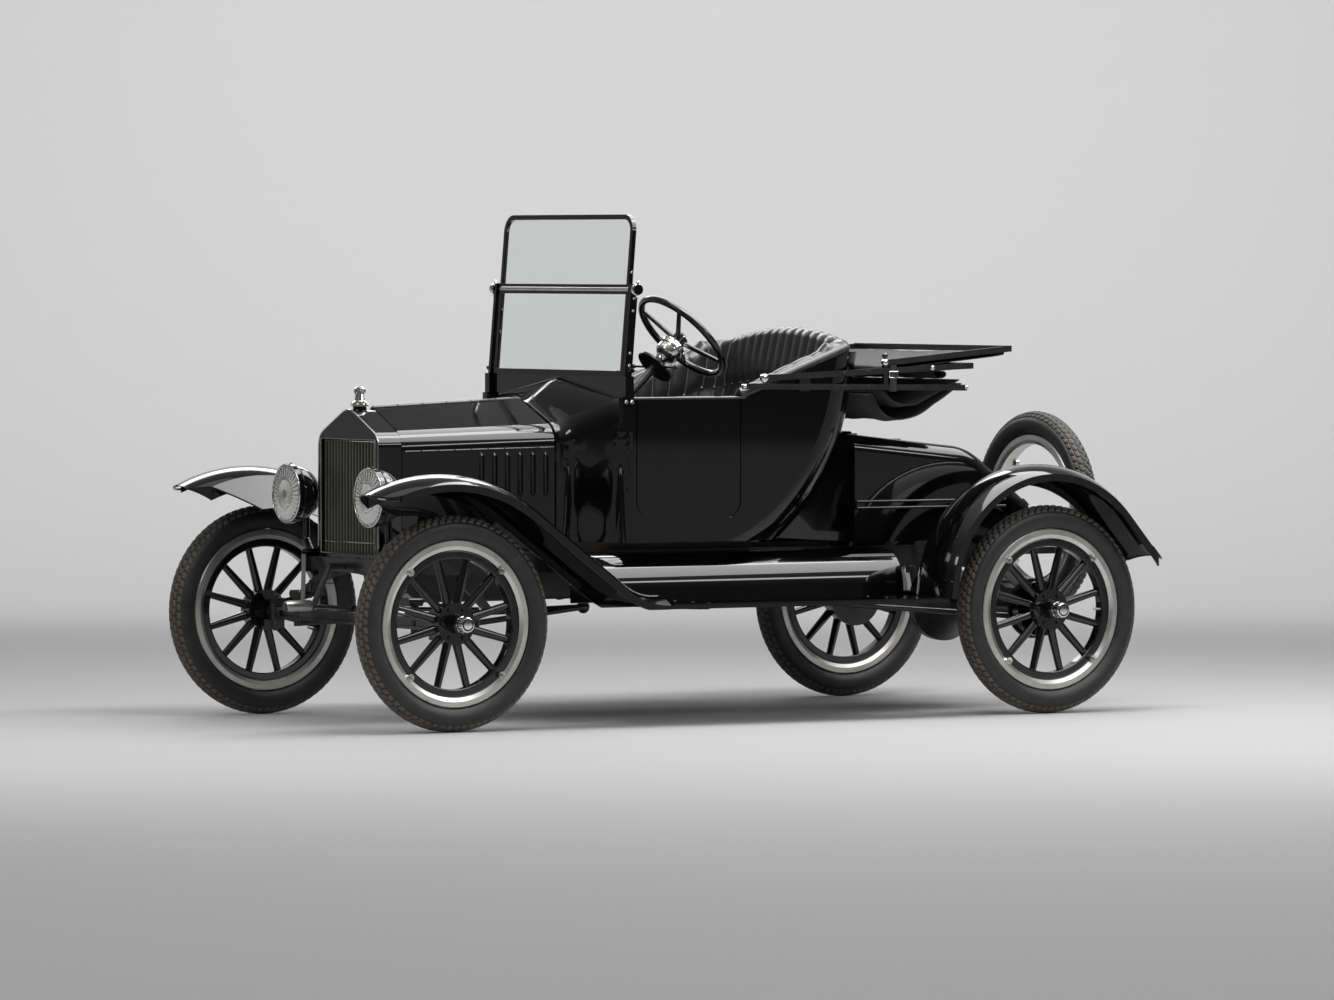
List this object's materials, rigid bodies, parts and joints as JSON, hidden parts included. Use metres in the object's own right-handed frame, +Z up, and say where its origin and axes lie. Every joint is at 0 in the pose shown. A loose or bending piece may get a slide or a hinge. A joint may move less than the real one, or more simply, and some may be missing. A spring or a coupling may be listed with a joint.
{
  "type": "brass era car",
  "caption": "Open early motor car with spoked wooden wheels, sweeping fenders, folding windshield, folded cloth top and a rear deck carrying a spare tyre.",
  "frame": {"origin": "on the ground under the middle of the car, at the bottom centre of its box", "axes": "+X forward, +Y to the left, +Z up"},
  "size_m": [3.3999, 1.676, 1.8506],
  "materials": {
    "black_enamel": "gloss",
    "chassis_black": "satin",
    "tyre_rubber": "matte",
    "rim_zinc": "satin",
    "wheel_paint": "gloss",
    "core_metal": "dull",
    "nickel": "polished",
    "engine_iron": "matte",
    "exhaust_steel": "dull",
    "spring_steel": "satin",
    "floor_wood": "matte",
    "seat_leather": "satin",
    "top_cloth": "matte",
    "pane_glass": "clear",
    "lens_glass": "fluted"
  },
  "bodies": {
    "chassis": {"frame_rails": "chassis_black", "frame_crossmembers": "chassis_black", "engine": "engine_iron", "exhaust": "exhaust_steel", "front_axle": "chassis_black", "front_spring": "spring_steel", "rear_axle": "chassis_black", "rear_spring": "spring_steel", "radiator_shell": "black_enamel", "radiator_core": "core_metal", "radiator_cap": "nickel", "firewall": "black_enamel", "cowl": "black_enamel", "body_left": "black_enamel", "body_right": "black_enamel", "body_back": "black_enamel", "floor": "floor_wood", "seat_cushion": "seat_leather", "seat_back": "seat_leather", "deck": "black_enamel", "fenders_front": "black_enamel", "fenders_rear": "black_enamel", "running_boards": "black_enamel", "splash_aprons": "black_enamel", "headlamps": "black_enamel", "headlamp_lenses": "lens_glass", "windshield_frame": "black_enamel", "windshield_glass": "pane_glass", "steering_column": "chassis_black", "controls": "chassis_black", "crank": "chassis_black", "top_bows": "chassis_black", "top_fabric": "top_cloth", "spare_tyre": "tyre_rubber", "spare_rim": "rim_zinc", "spare_carrier": "chassis_black"},
    "knuckle_left": {"knuckle_left": "chassis_black"},
    "knuckle_right": {"knuckle_right": "chassis_black"},
    "tie_rod": {"tie_rod": "chassis_black"},
    "pitman_arm": {"pitman_arm": "chassis_black"},
    "steering_wheel": {"steering_wheel": "wheel_paint"},
    "hood_left": {"hood_left": "black_enamel"},
    "hood_right": {"hood_right": "black_enamel"},
    "door": {"door": "black_enamel"},
    "deck_lid": {"deck_lid": "black_enamel"},
    "wheel_front_left": {"tyre_front_left": "tyre_rubber", "rim_front_left": "rim_zinc", "wheel_front_left": "wheel_paint"},
    "wheel_front_right": {"tyre_front_right": "tyre_rubber", "rim_front_right": "rim_zinc", "wheel_front_right": "wheel_paint"},
    "wheel_rear_left": {"tyre_rear_left": "tyre_rubber", "rim_rear_left": "rim_zinc", "wheel_rear_left": "wheel_paint"},
    "wheel_rear_right": {"tyre_rear_right": "tyre_rubber", "rim_rear_right": "rim_zinc", "wheel_rear_right": "wheel_paint"}
  },
  "joints": [
    {"name": "steer_left", "type": "hinge", "parent": "chassis", "child": "knuckle_left", "pos_m": [1.3125, 0.615, 0.38], "axis": [0, 0, 1], "range_deg": [-33, 33]},
    {"name": "steer_right", "type": "hinge", "parent": "chassis", "child": "knuckle_right", "pos_m": [1.3125, -0.615, 0.38], "axis": [0, 0, 1], "range_deg": [-33, 33]},
    {"name": "tie_rod_swing", "type": "hinge", "parent": "knuckle_left", "child": "tie_rod", "pos_m": [1.1625, 0.615, 0.4013], "axis": [0, 0, 1], "range_deg": [-33, 33]},
    {"name": "pitman_turn", "type": "hinge", "parent": "chassis", "child": "pitman_arm", "pos_m": [0.0625, 0.224, 1.403], "axis": [-0.7254, 0, 0.6884], "range_deg": [-33, 33]},
    {"name": "steering_wheel_turn", "type": "hinge", "parent": "chassis", "child": "steering_wheel", "pos_m": [0.0625, 0.224, 1.403], "axis": [-0.7254, 0, 0.6884], "range_deg": [-132, 132]},
    {"name": "wheel_front_left_spin", "type": "hinge", "parent": "knuckle_left", "child": "wheel_front_left", "pos_m": [1.3125, 0.711, 0.3875], "axis": [0, 1, 0], "continuous": true},
    {"name": "wheel_front_right_spin", "type": "hinge", "parent": "knuckle_right", "child": "wheel_front_right", "pos_m": [1.3125, -0.711, 0.3875], "axis": [0, 1, 0], "continuous": true},
    {"name": "wheel_rear_left_spin", "type": "hinge", "parent": "chassis", "child": "wheel_rear_left", "pos_m": [-1.2275, 0.711, 0.3875], "axis": [0, 1, 0], "continuous": true},
    {"name": "wheel_rear_right_spin", "type": "hinge", "parent": "chassis", "child": "wheel_rear_right", "pos_m": [-1.2275, -0.711, 0.3875], "axis": [0, 1, 0], "continuous": true},
    {"name": "hood_left_fold", "type": "hinge", "parent": "chassis", "child": "hood_left", "pos_m": [1.2475, 0, 1.146], "axis": [0.999, 0, -0.0448], "range_deg": [0, 85]},
    {"name": "hood_right_fold", "type": "hinge", "parent": "chassis", "child": "hood_right", "pos_m": [1.2475, 0, 1.146], "axis": [-0.999, 0, 0.0448], "range_deg": [0, 85]},
    {"name": "door_swing", "type": "hinge", "parent": "chassis", "child": "door", "pos_m": [0.425, -0.515, 0.738], "axis": [0, 0, 1], "range_deg": [0, 75]},
    {"name": "deck_lid_lift", "type": "hinge", "parent": "chassis", "child": "deck_lid", "pos_m": [-0.6725, 0, 1.03773], "axis": [0, 1, 0], "range_deg": [0, 25]}
  ],
  "couplings": [
    {"joint": "steer_right", "follows": "steer_left", "ratio": 1},
    {"joint": "tie_rod_swing", "follows": "steer_left", "ratio": -1},
    {"joint": "pitman_turn", "follows": "steer_left", "ratio": 1},
    {"joint": "steering_wheel_turn", "follows": "steer_left", "ratio": 4}
  ]
}
